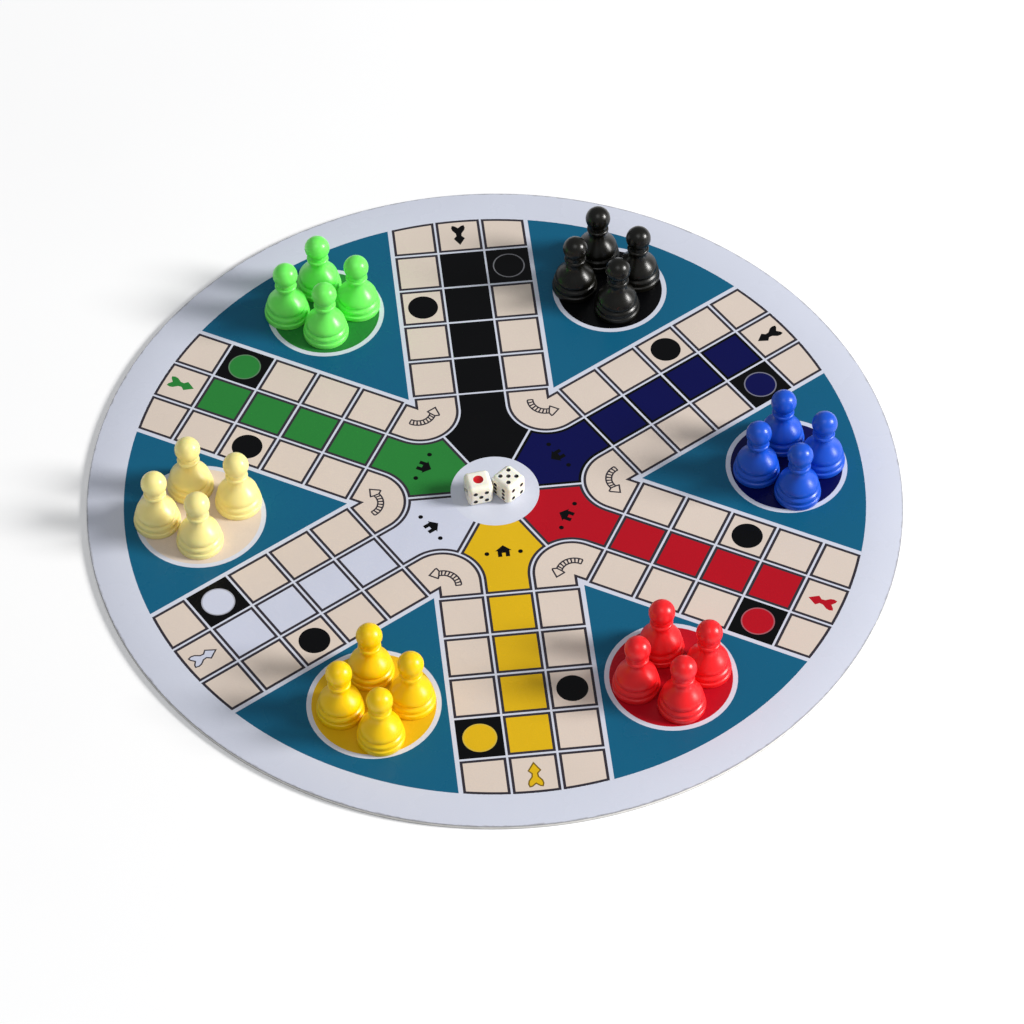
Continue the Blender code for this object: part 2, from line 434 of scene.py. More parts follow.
def ring(centre, radius):
    """A circle fine enough that its sides stay under a hundredth of a millimetre off."""
    sides = 4 * math.ceil(5 + 2.2 * math.sqrt(radius))
    turns = [2 * math.pi * step / sides for step in range(sides)]
    return [(centre[0] + radius * math.cos(a), centre[1] + radius * math.sin(a)) for a in turns]


def swept(start, end, step_degrees=3.0):
    """Evenly spaced angles from start to end, both kept."""
    steps = max(1, math.ceil(abs(end - start) / math.radians(step_degrees)))
    return [start + (end - start) * step / steps for step in range(steps + 1)]


def paint_disc(ink_name, centre, radius):
    paint(ink_name, ring(centre, radius))


def paint_framed(ink_name, outline_at):
    """A shape with a printed line round it. Insets are measured from the line's own middle."""
    paint("black" if ink_name in DARK_INKS else "line", outline_at(-LINE_HALF))
    paint(ink_name, outline_at(LINE_HALF))


# %% [markdown]
# ## Teal sectors and start circles
#
# Between the arms lie six teal sectors, each a wedge with its point towards the middle and an arc
# outside. Each carries a start circle in its player's colour inside a white ring. The circles are
# not quite alike on the real print: their places and sizes differ by up to two millimetres, so
# they are listed one by one, as shares of the print's radius.

# %% Sectors
TEAL_SIDE = 23.1
START_RING_WIDTH = 1.5
# Ink, distance from the board's middle and radius
START_SHARES = (
    ("black", 0.798, 0.160),
    ("navy", 0.795, 0.165),
    ("red", 0.776, 0.1745),
    ("yellow", 0.778, 0.1755),
    ("cream", 0.795, 0.176),
    ("green", 0.800, 0.163),
)


def sector_outline(middle):
    """From the wedge's point to the rim and back, about the line halfway between two arms."""
    lean = ARM_TURN / 2 - math.asin(TEAL_SIDE / PRINT_RADIUS)
    outline = [on_arm(middle, TEAL_SIDE / math.sin(ARM_TURN / 2))]
    for turn in swept(-lean, lean, RIM_STEP_DEGREES):
        outline.append(on_arm(middle, PRINT_RADIUS * math.cos(turn), PRINT_RADIUS * math.sin(turn)))
    return outline


for number, (start_ink, distance_share, radius_share) in enumerate(START_SHARES):
    middle = number + 0.5
    paint("teal", sector_outline(middle))
    start_centre = on_arm(middle, distance_share * PRINT_RADIUS)
    start_radius = radius_share * PRINT_RADIUS
    paint_disc("paper", start_centre, start_radius)
    paint_disc(start_ink, start_centre, start_radius - START_RING_WIDTH)
print("Outlines after the sectors:", len(painted))

# %% [markdown]
# ## The cells of the arms
#
# Each arm is three columns wide and five cells long. Seen from the middle, the first four cells of
# the middle column are the player's home stretch and take the player's colour. The last row is
# bounded by the rim's arc, so its outer corners follow that circle. The gutters are unprinted
# paper, so only the cells are drawn.

# %% Cells
ARM_INKS = ("black", "navy", "red", "yellow", "pearl", "green")
FIRST_ROW = 41.35
ROW_PITCH = 15.22
ROW_LENGTH = 13.66
MIDDLE_COLUMN = (-6.76, 6.76)
SIDE_COLUMN = (8.26, 21.31)
ROWS = 5


def cell_outline(arm, row, column, inset):
    """One cell, made smaller by an inset all round. The last row follows the rim's arc."""
    low_side, high_side = column[0] + inset, column[1] - inset
    near = FIRST_ROW + ROW_PITCH * row + inset
    far = near - inset + ROW_LENGTH - inset
    outline = [on_arm(arm, near, high_side), on_arm(arm, near, low_side)]
    if row < ROWS - 1:
        return outline + [on_arm(arm, far, low_side), on_arm(arm, far, high_side)]
    rim = PRINT_RADIUS - LINE_HALF - inset
    for turn in swept(math.asin(low_side / rim), math.asin(high_side / rim), RIM_STEP_DEGREES):
        outline.append(on_arm(arm, rim * math.cos(turn), rim * math.sin(turn)))
    return outline


def paint_cell(ink_name, arm, row, column):
    paint_framed(ink_name, lambda inset: cell_outline(arm, row, column, inset))


counter_column = (-SIDE_COLUMN[1], -SIDE_COLUMN[0])
for arm, arm_ink in enumerate(ARM_INKS):
    for row in range(ROWS):
        middle_ink = arm_ink if row < ROWS - 1 else "cream"
        paint_cell("cream", arm, row, counter_column)
        paint_cell(middle_ink, arm, row, MIDDLE_COLUMN)
        paint_cell("cream", arm, row, SIDE_COLUMN)
print("Outlines after the cells:", len(painted))

# %% [markdown]
# ## Marked cells and straight arrows
#
# Two cells of each arm are marked. On the clockwise side, the last cell but one is black with a
# disc in the player's colour, edged by a thin paler ring: here a pawn enters. On the other side the
# third cell carries a plain black disc: a safe place. A small arrow with a notched tail in the
# rim's middle cell points down the home stretch. It is one outline, mirrored about its own middle.

# %% Marks
ENTRY_ROW = 3
SAFE_ROW = 2
ENTRY_RADIUS = 4.8
ENTRY_RING = 5.2
SAFE_RADIUS = 4.85
ARROW_TIP = 104.6
ARROW_LINE = 0.45
ARROW_SPREAD = 0.2
# The arrow's right half from its tip to its tail, as half width and distance from the tip
ARROW_HALF = (
    (1.84, 2.85),
    (0.84, 3.95),
    (0.96, 5.1),
    (2.0, 6.5),
    (2.25, 7.6),
    (1.95, 8.65),
    (1.15, 8.45),
)
ARROW_TAIL_NOTCH = 7.5
# The ink of each arrow's edge and of its fill
ARROW_INKS = {
    "black": ("black", "black"),
    "navy": ("black", "black"),
    "red": ("red", "red"),
    "yellow": ("olive", "yellow"),
    "pearl": ("line", "pearl"),
    "green": ("green", "green"),
}
SHARPEST_LEAN = 0.35


def cell_middle(arm, row, column):
    return on_arm(arm, FIRST_ROW + ROW_PITCH * row + ROW_LENGTH / 2, sum(column) / 2)


def grown(outline, distance):
    """An outline pushed outwards by a distance along its corners, or inwards by a negative one."""
    points = [Vector(point) for point in outline]
    area = sum(a.x * b.y - b.x * a.y for a, b in zip(points, points[1:] + points[:1]))
    way = 1 if area > 0 else -1
    moved = []
    for index, point in enumerate(points):
        before = (point - points[index - 1]).normalized()
        after = (points[(index + 1) % len(points)] - point).normalized()
        corner = Vector((before.y + after.y, -before.x - after.x)).normalized()
        lean = max(SHARPEST_LEAN, corner.dot(Vector((after.y, -after.x))))
        moved.append(tuple(point + corner * (way * distance / lean)))
    return moved


def straight_arrow(arm):
    """The arrow in the rim's middle cell, tip inwards."""
    right = [on_arm(arm, ARROW_TIP + back, half) for half, back in ARROW_HALF]
    left = [on_arm(arm, ARROW_TIP + back, -half) for half, back in reversed(ARROW_HALF)]
    notch = on_arm(arm, ARROW_TIP + ARROW_TAIL_NOTCH)
    return [on_arm(arm, ARROW_TIP), *right, notch, *left]


for arm, arm_ink in enumerate(ARM_INKS):
    entry = cell_middle(arm, ENTRY_ROW, SIDE_COLUMN)
    paint("black", cell_outline(arm, ENTRY_ROW, SIDE_COLUMN, -LINE_HALF))
    paint_disc(f"{arm_ink}_ring", entry, ENTRY_RING)
    paint_disc(arm_ink, entry, ENTRY_RADIUS)
    paint_disc("black", cell_middle(arm, SAFE_ROW, counter_column), SAFE_RADIUS)
    edge_ink, fill_ink = ARROW_INKS[arm_ink]
    if edge_ink == fill_ink:
        paint(fill_ink, straight_arrow(arm))
    else:
        paint(edge_ink, grown(straight_arrow(arm), ARROW_SPREAD))
        paint(fill_ink, grown(straight_arrow(arm), ARROW_SPREAD - ARROW_LINE))
print("Outlines after the marks:", len(painted))

# %% [markdown]
# ## Home fields
#
# The six home fields meet like the slices of a cake under the bare disc in the middle. Each is a
# stem as wide as the home stretch, then two round bites that leave room for the turn cells, then
# a point. Both the bites and the turn cells are drawn about one point on the line between two
# arms, 40 mm out, so the white gap between them is even all the way. The outline is a function of
# its inset: the same lines then give the printed edge and the fill inside it.

# %% Home fields
HOME_TOP = 39.86
CORNER_OUT = 40.0
CORNER_ALONG = CORNER_OUT * math.cos(ARM_TURN / 2)
CORNER_SIDE = CORNER_OUT * math.sin(ARM_TURN / 2)
HOME_HALF = 6.76
HOME_GAP = 0.78
CORNER_STEP_DEGREES = 4.0


def corner_arc(arm, radius, last):
    """Points round the corner point on the arm's clockwise side, from its stem towards the middle."""
    points = []
    for turn in swept(0, last, CORNER_STEP_DEGREES):
        along = CORNER_ALONG - radius * math.sin(turn)
        points.append((along, CORNER_SIDE - radius * math.cos(turn)))
    return points


def home_outline(arm, inset):
    """One home field: its stem, its two bites and its point."""
    half = HOME_HALF - inset
    gap = HOME_GAP + inset
    radius = CORNER_SIDE - half
    bite = corner_arc(arm, radius, ARM_TURN - math.asin(gap / radius))
    right = [(HOME_TOP - inset, half), *bite]
    left = [(along, -side) for along, side in reversed(right)]
    point = (gap / math.sin(ARM_TURN / 2), 0.0)
    return [on_arm(arm, along, side) for along, side in (*right, point, *left)]


for arm, arm_ink in enumerate(ARM_INKS):
    paint_framed(arm_ink, lambda inset: home_outline(arm, inset))
print("Outlines after the home fields:", len(painted))

# %% [markdown]
# ## Turn cells
#
# Where two arms meet, the track turns through one large cream cell: an arch round the same corner
# point, with a notch where the teal wedge's point reaches in. It is symmetrical about the line
# between the arms, so half of it is drawn from one arm and the other half is its mirror image.

# %% Turn cells
TURN_SIDE = SIDE_COLUMN[0]
TURN_LEG = 20.9


def turn_outline(arm, inset):
    """The turn cell between this arm and the next."""
    top = HOME_TOP - inset
    side = TURN_SIDE + inset
    leg = TURN_LEG - inset
    half = [(top, leg), (top, side), *corner_arc(arm, CORNER_SIDE - side, ARM_TURN)]
    first = [on_arm(arm, along, across) for along, across in half]
    second = [on_arm(arm + 1, along, -across) for along, across in reversed(half[:-1])]
    notch = on_arm(arm + 0.5, leg / math.sin(ARM_TURN / 2))
    return [notch, *first, *second]


for arm in range(ARMS):
    paint_framed("cream", lambda inset: turn_outline(arm, inset))
print("Outlines after the turn cells:", len(painted))

# %% [markdown]
# ## Curved arrows
#
# A curved arrow in each turn cell shows which way play runs. Its body is a band that bows out a
# little in the middle and swings about the notch's point, ribbed with short strokes; its head is
# a kite that leans inwards. Angles start from the direction of the board's middle and run
# counterclockwise. Because each edge is just a radius that changes with the angle, the whole band
# comes from one loop, and its outline is the same band made a line's width narrower.

# %% Curved arrows
CURVE_TAIL = math.radians(-59)
CURVE_NECK = math.radians(27)
CURVE_MIDDLE = math.radians(-22)
CURVE_RADIUS = 6.07
CURVE_BOW = 0.72
CURVE_HALF_WIDTH = 1.15
CURVE_LINE = 0.52
CURVE_STEP_DEGREES = 5
TAIL_ROUNDING = 0.35
RIB_COUNT = 8
NOTCH_POINT = 2 * TURN_LEG
# The head's corners, as radius and degrees: neck, outer barb, tip, inner barb, neck
HEAD_CORNERS = ((6.5, 24), (7.85, 31), (7.7, 36), (5.95, 62), (3.4, 35), (3.35, 29), (4.6, 25))


def about_notch(arm, radius, turn):
    """A point about the notch's point, by its angle from the way to the board's middle."""
    return on_arm(arm + 0.5, NOTCH_POINT - radius * math.cos(turn), radius * math.sin(turn))


def curve_radius(turn):
    """The radius of the band's middle line, largest near the middle of the sweep."""
    return CURVE_RADIUS - CURVE_BOW * (turn - CURVE_MIDDLE) ** 2


def curve_band(arm, half_width, start, end, rounding=0.0):
    """A stretch of the band. Its start can be rounded by narrowing the first step."""
    turns = swept(start, end, CURVE_STEP_DEGREES)
    if rounding:
        turns.insert(1, start + rounding / CURVE_RADIUS)
    outline = []
    for side, order in ((1, turns), (-1, turns[::-1])):
        for turn in order:
            half = half_width - (rounding if turn == start else 0.0)
            outline.append(about_notch(arm, curve_radius(turn) + side * half, turn))
    return outline


def curve_head(arm):
    """The arrow's head."""
    return [about_notch(arm, radius, math.radians(degrees)) for radius, degrees in HEAD_CORNERS]


def paint_curved_arrow(arm):
    """The line's ink first, then the cream between the ribs and inside the head."""
    paint("line", curve_band(arm, CURVE_HALF_WIDTH, CURVE_TAIL, CURVE_NECK, TAIL_ROUNDING))
    line_turn = CURVE_LINE / CURVE_RADIUS
    fill_half = CURVE_HALF_WIDTH - CURVE_LINE
    rib_pitch = (CURVE_NECK - CURVE_TAIL) / RIB_COUNT
    for rib in range(RIB_COUNT):
        start = CURVE_TAIL + rib_pitch * rib + line_turn
        paint("cream", curve_band(arm, fill_half, start, start + rib_pitch - line_turn))
    paint("line", curve_head(arm))
    paint("cream", grown(curve_head(arm), -CURVE_LINE))


for arm in range(ARMS):
    paint_curved_arrow(arm)
print("Outlines after the curved arrows:", len(painted))

# %% [markdown]
# ## Home signs and the bare middle
#
# Each home field carries a plain sign that says what it is: a little house with its roof towards
# the middle, between two dots. It is one outline of nine corners, drawn for one arm and turned
# to the others. The disc under the dice is bare paper, laid over the points of the home fields.

# %% Signs and middle
SIGN_ALONG = 24.0
HOUSE_HALF = 2.6
WALL_HALF = 1.85
ROOF_HEIGHT = 2.2
WALL_HEIGHT = 2.3
DOOR_HALF = 0.55
DOOR_HEIGHT = 1.5
DOT_SIDE = 5.2
DOT_RADIUS = 0.75
MIDDLE_DISC = 13.86


def house_outline(arm):
    """A house seen from the front, with a doorway."""
    eaves = SIGN_ALONG
    foot = eaves + WALL_HEIGHT
    lintel = foot - DOOR_HEIGHT
    right = (
        (eaves, HOUSE_HALF),
        (eaves, WALL_HALF),
        (foot, WALL_HALF),
        (foot, DOOR_HALF),
        (lintel, DOOR_HALF),
    )
    left = [(along, -side) for along, side in reversed(right)]
    return [on_arm(arm, *point) for point in ((eaves - ROOF_HEIGHT, 0.0), *right, *left)]


for arm in range(ARMS):
    paint("black", house_outline(arm))
    for side in (-DOT_SIDE, DOT_SIDE):
        paint_disc("black", on_arm(arm, SIGN_ALONG + DOT_RADIUS, side), DOT_RADIUS)
paint_disc("paper", (0.0, 0.0), MIDDLE_DISC)
print("Outlines in the whole print:", len(painted))

# %% [markdown]
# ## From outlines to one printed face
#
# Inks could be thin plates laid on the board, but they would stand proud, flicker and cast tiny
# shadows, while a real print is dead flat. So the top face itself is cut up along every outline.
# A constrained Delaunay triangulation does that: it returns triangles that cross no outline, and
# says for each which outlines it lies in. Painting then means taking the last one. The sheet is
# closed with a rounded edge, where the punch pulled the film down, a short wall and an underside.

# %% Printed face sheet
RIM_SIDES = 384
EDGE_ROUND = 0.12 * MM
EDGE_STEPS = 4
POINTS_APART = 1e-6
PRINT_SHARP_DEGREES = 30


def rim_points(radius):
    """The board's rim. Some of its corners lie on both axes, as they do in the frame."""
    turns = [2 * math.pi * step / RIM_SIDES for step in range(RIM_SIDES)]
    return [(radius * math.cos(turn), radius * math.sin(turn)) for turn in turns]


def subdivided(outlines):
    """Corner points, triangles and, for each triangle, the last outline that it lies in."""
    corners = []
    loops = []
    for outline in outlines:
        first = len(corners)
        corners.extend(Vector(point) for point in outline)
        loops.append(list(range(first, len(corners))))
    found = delaunay_2d_cdt(corners, [], loops, 1, POINTS_APART, True)
    points, _, triangles, origins, _, inside = found
    return points, triangles, [max(holders) for holders in inside], origins


flat_radius = (board_radius - EDGE_ROUND) / MM
outlines = [rim_points(flat_radius)] + [outline for _, outline in painted]
outline_inks = ["paper"] + [name for name, _ in painted]
points, triangles, holders, origins = subdivided(outlines)
slot_names = ["paper", *INK_COLOURS, "film_edge"]

shape = bmesh.new()
corners = [shape.verts.new((point.x * MM, point.y * MM, FACE_TOP)) for point in points]
for triangle, holder in zip(triangles, holders):
    face = shape.faces.new([corners[index] for index in triangle])
    face.material_index = slot_names.index(outline_inks[holder])
print("Printed face:", len(outlines), "outlines,", len(points), "points,", len(triangles), "triangles")

# %% Close the sheet round its rim
rim_corner = {source: index for index, sources in enumerate(origins) for source in sources}
loop = [corners[rim_corner[step]] for step in range(RIM_SIDES)]


def next_loop(shape, loop, radius, level, slot_index, smooth=True):
    """Joins a rim loop to a new one at another radius and level, and returns the new one."""
    lower = [shape.verts.new((x * radius, y * radius, level)) for x, y in rim_points(1.0)]
    for step in range(len(loop)):
        after = (step + 1) % len(loop)
        face = shape.faces.new((loop[step], lower[step], lower[after], loop[after]))
        face.material_index = slot_index
        face.smooth = smooth
    return lower


edge_slot = slot_names.index("film_edge")
for step in range(1, EDGE_STEPS + 1):
    turn = math.pi / 2 * step / EDGE_STEPS
    out = board_radius - EDGE_ROUND * (1 - math.sin(turn))
    loop = next_loop(shape, loop, out, FACE_TOP - EDGE_ROUND * (1 - math.cos(turn)), edge_slot)
loop = next_loop(shape, loop, board_radius, FACE_BOTTOM, edge_slot)
underside = shape.faces.new(list(reversed(loop)))
underside.material_index = slot_names.index("paper")
bmesh.ops.recalc_face_normals(shape, faces=shape.faces[:])


def piece_from(shape, name, finishes, sharp_degrees=None):
    """Makes the shape a piece of the scene, smooth up to the given angle if one is given."""
    mesh = bpy.data.meshes.new(name)
    shape.to_mesh(mesh)
    shape.free()
    for finish in finishes:
        mesh.materials.append(finish)
    if sharp_degrees is not None:
        mesh.shade_smooth()
        mesh.set_sharp_from_angle(angle=math.radians(sharp_degrees))
    piece = bpy.data.objects.new(name, mesh)
    bpy.context.scene.collection.objects.link(piece)
    return piece


finishes = {"paper": paper, "film_edge": film_edge, **inks}
face_finishes = [finishes[name] for name in slot_names]
printed = piece_from(shape, "printed_face", face_finishes, PRINT_SHARP_DEGREES)
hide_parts("face_sheet")
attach(printed, "board")
print("Printed face is", round(printed.dimensions.x / MM, 2), "mm across")

# %% [markdown]
# ## The core and the backing
#
# Where the board was punched out, its grey core shows as a pale, slightly ragged edge between two
# skins. The core could be a plain cylinder, but then the cut would look machined. Here its wall
# has five rows of points, each moved in by a few hundredths of a millimetre of noise, which
# breaks the light along the rim as cut pulp does. The core fills the thin glue lines, too. The
# backing is a plain sheet of matt paper whose lower edge is a little rounded.

# %% Core and backing finishes
PULP_GREY = colour(232, 230, 226)
BACKING_GREY = colour(176, 176, 178)

core_finish, tree, shader = new_finish("cut_core_board")
layers = spread(tree, grain(tree, 0.5 * MM, 3, (8, 8, 1)), 0.88, 1.06)
patches = spread(tree, grain(tree, 3 * MM, 4), 0.94, 1.04)
pulp = maths(tree, "MULTIPLY", layers, patches)
tree.links.new(shaded(tree, PULP_GREY, pulp), shader.inputs["Base Color"])
shader.inputs["Roughness"].default_value = 0.85
shader.inputs["Specular IOR Level"].default_value = 0.2
raised(tree, shader, grain(tree, 0.12 * MM, 3, (3, 3, 1)), 0.05 * MM)

backing_finish, tree, shader = new_finish("backing_paper")
fine_fibres = spread(tree, grain(tree, 0.5 * MM, 4), 0.95, 1.03)
wide_clouds = spread(tree, grain(tree, 30 * MM, 3), 0.97, 1.02)
fibres = maths(tree, "MULTIPLY", fine_fibres, wide_clouds)
tree.links.new(shaded(tree, BACKING_GREY, fibres), shader.inputs["Base Color"])
shader.inputs["Roughness"].default_value = 0.75
raised(tree, shader, grain(tree, 0.25 * MM, 3), 0.02 * MM)
print("Finishes:", core_finish.name, "and", backing_finish.name)

# %% Core and backing shapes
CORE_ROWS = 5
CORE_INSET = 0.03 * MM
CORE_RAGGED = 0.06 * MM
BACKING_ROWS = 4
BACKING_RAGGED = 0.02 * MM
BACKING_ROUNDING = 0.06 * MM
RAGGED_SIZE = 1.4 * MM
# The ragged patches are this much flatter than they are wide, as layers of pulp are
RAGGED_FLATNESS = 0.3
WALL_SHARP_DEGREES = 50


def ragged_disc(name, finish, bottom, top, rows, inset, ragged, rounding):
    """A disc whose wall is moved in by noise, and eased in towards its underside."""
    shape = bmesh.new()
    sides = 2 * RIM_SIDES
    loops = []
    for row in range(rows):
        share = row / (rows - 1)
        level = bottom + (top - bottom) * share
        eased = rounding * max(0.0, 1 - 2 * share) ** 2
        loop = []
        for side in range(sides):
            turn = 2 * math.pi * side / sides
            way = Vector((math.cos(turn), math.sin(turn), 0.0))
            spot = way * (board_radius / RAGGED_SIZE)
            spot.z = level / (RAGGED_FLATNESS * RAGGED_SIZE)
            depth = inset + ragged * (0.5 + 0.5 * noise.noise(spot)) + eased
            point = way * (board_radius - depth)
            loop.append(shape.verts.new((point.x, point.y, level)))
        loops.append(loop)
    for lower, upper in zip(loops, loops[1:]):
        for side in range(sides):
            after = (side + 1) % sides
            shape.faces.new((lower[side], lower[after], upper[after], upper[side]))
    shape.faces.new(list(reversed(loops[0])))
    shape.faces.new(loops[-1])
    return piece_from(shape, name, [finish], WALL_SHARP_DEGREES)


core_low, core_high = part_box("board_core")
backing_low, backing_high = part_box("backing_sheet")
core = ragged_disc(
    "cut_core", core_finish, backing_high.z, FACE_BOTTOM, CORE_ROWS, CORE_INSET, CORE_RAGGED, 0.0
)
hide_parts("board_core")
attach(core, "board")
backing = ragged_disc(
    "paper_backing",
    backing_finish,
    backing_low.z,
    backing_high.z,
    BACKING_ROWS,
    0.0,
    BACKING_RAGGED,
    BACKING_ROUNDING,
)
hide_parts("backing_sheet")
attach(backing, "board")
core_only = round((core_high.z - core_low.z) / MM, 2)
with_glue = round((FACE_BOTTOM - backing_high.z) / MM, 2)
print("Core is", core_only, "mm thick, and", with_glue, "mm with its glue")

# %% [markdown]
# ## Moulded plastic
#
# The pawns are solid mouldings in one piece, coloured right through. The colour is even, but the
# mould leaves a soft orange-peel surface, handling dulls the gloss in patches, and hairline
# scratches mark it. Light enters the bright plastics, so their shaded sides still glow: that
# is subsurface scattering with a reach of two millimetres. The blue one, full of pigment, gets
# little of it, and the black one none.

# %% Plastic recipe
PEEL = 1.1 * MM
HANDLING = 5 * MM
GLOW_REACH = 2.2 * MM
GLOW_TINT = (1.0, 0.8, 0.5)
PEEL_DEPTH = 0.012 * MM
SCRATCH_WIDTH = 0.12 * MM
SCRATCH_DEPTH = 0.0015 * MM


def plastic(name, base, glow, gloss=(0.25, 0.36), shine=0.42):
    """Moulded plastic: its colour, how far light glows in it, and the range of its roughness."""
    finish, tree, shader = new_finish(name)
    tree.links.new(
        shaded(tree, base, spread(tree, grain(tree, 6 * MM, 4), 0.96, 1.03)),
        shader.inputs["Base Color"],
    )
    scratches = grain(tree, SCRATCH_WIDTH, 2, (1, 9, 9))
    worn = maths(tree, "MAXIMUM", grain(tree, HANDLING, 5), scratches)
    tree.links.new(spread(tree, worn, *gloss), shader.inputs["Roughness"])
    shader.inputs["Specular IOR Level"].default_value = shine
    shader.inputs["Subsurface Weight"].default_value = glow
    shader.inputs["Subsurface Radius"].default_value = GLOW_TINT
    shader.inputs["Subsurface Scale"].default_value = GLOW_REACH
    peel = raised(tree, shader, grain(tree, PEEL, 2), PEEL_DEPTH)
    raised(tree, shader, scratches, SCRATCH_DEPTH, below=peel)
    return finish


PLASTICS = {
    "black": plastic("plastic_olive_black", colour(13, 12, 7), 0.0, (0.23, 0.34), 0.42),
    "blue": plastic("plastic_blue", colour(22, 84, 206), 0.06),
    "red": plastic("plastic_red", colour(242, 32, 38), 0.4),
    "yellow": plastic("plastic_yellow", colour(255, 208, 4), 0.5),
    "ivory": plastic("plastic_ivory", colour(255, 236, 158), 0.5),
    "green": plastic("plastic_green", colour(120, 248, 104), 0.45),
}
print("Plastics:", ", ".join(PLASTICS))

# %% [markdown]
# ## A turned pawn
#
# The pawn is round about its own axis, so half of its outline says everything. That half outline
# is put together from arcs and one smooth curve, from the foot up: a rounded edge, a fine groove,
# a bead, a deeper groove, the bell that sweeps up to a slim neck, a collar like a small ring, and
# the ball of the head. Spinning the line once round the axis makes the mould's shape. The frame
# gives the foot's width and the full height, and the parts between are real sizes.

# %% Half outline
SPIN_SIDES = 64
pawn_low, pawn_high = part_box("pawn_red_1")
FOOT_RADIUS = (pawn_high.x - pawn_low.x) / 2
PAWN_HEIGHT = pawn_high.z - pawn_low.z
FOOT_EDGE = 0.4 * MM
RING_TOP = 2.0 * MM
# Arcs, as distance from the axis, height and radius
FINE_GROOVE = (6.98 * MM, 2.25 * MM, 0.17 * MM)
BEAD = (5.98 * MM, 3.33 * MM, 0.97 * MM)
DEEP_GROOVE = (6.46 * MM, 4.68 * MM, 0.35 * MM)
BELLY_LEVEL = 5.45 * MM
BELLY_RADIUS = 6.38 * MM
NECK_LEVEL = 12.2 * MM
NECK_RADIUS = 2.6 * MM
FLARE_POWER = 1.25
BELL_STEPS = 18
COLLAR = (2.81 * MM, 13.6 * MM, 0.7 * MM)
HEAD_RADIUS = 4.0 * MM
HEAD_LEVEL = PAWN_HEIGHT - HEAD_RADIUS


def arc(out, level, radius, start_degrees, end_degrees, steps):
    """Points of an arc in the outline's plane, as pairs of distance from the axis and height."""
    points = []
    for step in range(steps + 1):
        turn = math.radians(start_degrees + (end_degrees - start_degrees) * step / steps)
        points.append((out + radius * math.cos(turn), level + radius * math.sin(turn)))
    return points


def bell():
    """The body's sweep, full at the belly and slim at the neck."""
    points = []
    for step in range(BELL_STEPS + 1):
        share = step / BELL_STEPS
        swell = ((1 + math.cos(math.pi * share)) / 2) ** FLARE_POWER
        radius = NECK_RADIUS + (BELLY_RADIUS - NECK_RADIUS) * swell
        points.append((radius, BELLY_LEVEL + (NECK_LEVEL - BELLY_LEVEL) * share))
    return points


def pawn_outline():
    """Half of the pawn's outline, from the middle of its foot to the crown of its head."""
    outline = [(0.0, 0.0)]
    outline += arc(FOOT_RADIUS - FOOT_EDGE, FOOT_EDGE, FOOT_EDGE, -90, 0, 4)
    outline += arc(FOOT_RADIUS - FOOT_EDGE, RING_TOP - FOOT_EDGE, FOOT_EDGE, 0, 80, 5)
    outline += arc(*FINE_GROOVE, 240, 150, 3)
    outline += arc(*BEAD, -38, 62, 9)
    outline += arc(*DEEP_GROOVE, 235, 125, 5)
    outline += bell()
    outline += arc(*COLLAR, -78, 78, 9)
    neck_turn = -math.degrees(math.acos(COLLAR[0] / HEAD_RADIUS))
    outline += arc(0.0, HEAD_LEVEL, HEAD_RADIUS, neck_turn, 90, 20)[:-1]
    outline.append((0.0, PAWN_HEIGHT))
    return outline


half_outline = pawn_outline()
print("Pawn outline has", len(half_outline), "points and is", round(PAWN_HEIGHT / MM, 1), "mm high")

# %% Spin the outline and set out the pawns
PAWN_COLOURS = ("black", "blue", "red", "yellow", "ivory", "green")
SEATED = FACE_TOP + 0.01 * MM
PAWN_SHARP_DEGREES = 40
# Each pawn of a colour is turned by one more of these, so that no two show the same grain
SPIN_DEGREES = 73


def spun(outline, sides):
    """Turns a half outline once round the Z axis, with a single point at each end."""
    shape = bmesh.new()
    foot = shape.verts.new((0, 0, outline[0][1]))
    crown = shape.verts.new((0, 0, outline[-1][1]))
    loops = []
    for radius, level in outline[1:-1]:
        turns = [2 * math.pi * side / sides for side in range(sides)]
        spots = [(radius * math.cos(turn), radius * math.sin(turn), level) for turn in turns]
        loops.append([shape.verts.new(spot) for spot in spots])
    for side in range(sides):
        after = (side + 1) % sides
        shape.faces.new((foot, loops[0][after], loops[0][side]))
        for lower, upper in zip(loops, loops[1:]):
            shape.faces.new((lower[side], lower[after], upper[after], upper[side]))
        shape.faces.new((loops[-1][side], loops[-1][after], crown))
    return shape


for pawn_colour in PAWN_COLOURS:
    shape = spun(half_outline, SPIN_SIDES)
    first = piece_from(
        shape, f"turned_{pawn_colour}_1", [PLASTICS[pawn_colour]], PAWN_SHARP_DEGREES
    )
    for number in range(1, 5):
        node = f"pawn_{pawn_colour}_{number}"
        low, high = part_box(node)
        if number == 1:
            pawn = first
        else:
            pawn = bpy.data.objects.new(f"turned_{pawn_colour}_{number}", first.data)
            bpy.context.scene.collection.objects.link(pawn)
        pawn.location = ((low.x + high.x) / 2, (low.y + high.y) / 2, SEATED)
        pawn.rotation_euler.z = math.radians(SPIN_DEGREES * number)
        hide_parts(node)
        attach(pawn, node)
print("Pawns set out:", 4 * len(PAWN_COLOURS))

# %% [markdown]
# ## The dice
#
# A small die is a moulded cube with rounded edges and corners. Its pips are shallow dishes filled
# with paint: black ones, and a large red one for the single pip. A bump would not catch the light
# at their rims, so each pip is cut with a ball. The cutting balls carry the paint, and the Boolean
# modifier's TRANSFER setting leaves their material on the faces that they cut. Opposite faces add
# up to seven, and 1, 2 and 3 run counterclockwise about their corner, as on most dice.

# %% Dice finishes
die_finish = plastic("die_plastic_white", colour(253, 249, 234), 0.4, (0.22, 0.34))


